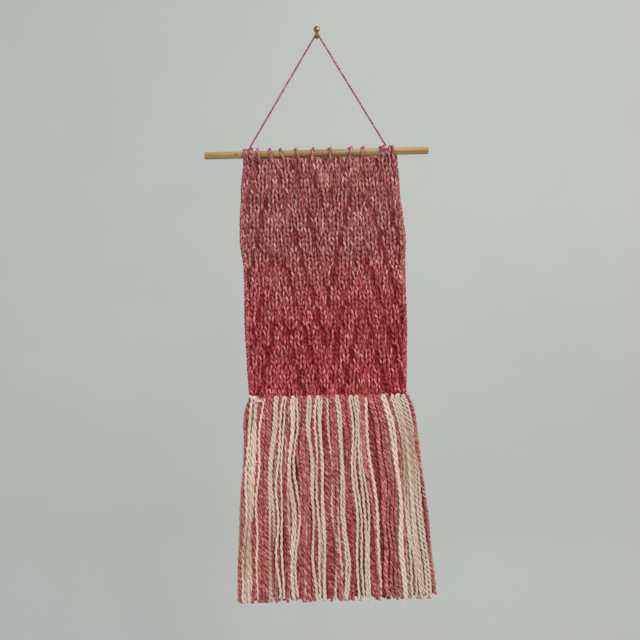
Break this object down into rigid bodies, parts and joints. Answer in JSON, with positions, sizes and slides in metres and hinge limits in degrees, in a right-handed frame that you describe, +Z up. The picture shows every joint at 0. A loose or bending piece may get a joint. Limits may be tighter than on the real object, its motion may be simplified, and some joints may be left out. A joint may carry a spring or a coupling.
{
  "type": "knitted wall hanging on a wooden dowel with a brass wall hook",
  "caption": "Rib-knitted yarn panel with a long cream and rose fringe, lashed to a slim wooden dowel that hangs by a twisted cord from a small brass wall hook with a nail.",
  "frame": {"origin": "middle of the hook's nail, where it goes into the wall", "axes": "+Z up, +Y into the wall, -Y towards the room, +X to the right as seen from the room"},
  "size_m": [0.305, 0.0331, 0.7893],
  "materials": {
    "wood": "bare sanded wood",
    "brass": "bright",
    "rose_yarn": "matt marled yarn",
    "cream_yarn": "matt plied yarn"
  },
  "bodies": {
    "root": {"dowel": "wood", "wall_hook": "brass", "hook_nail": "brass", "hanging_cord": "rose_yarn", "left_tie": "rose_yarn", "right_tie": "rose_yarn", "lashing_left": "rose_yarn", "lashing": "rose_yarn", "lashing_right": "rose_yarn", "knit_panel": "rose_yarn", "fringe": "cream_yarn"}
  },
  "joints": []
}
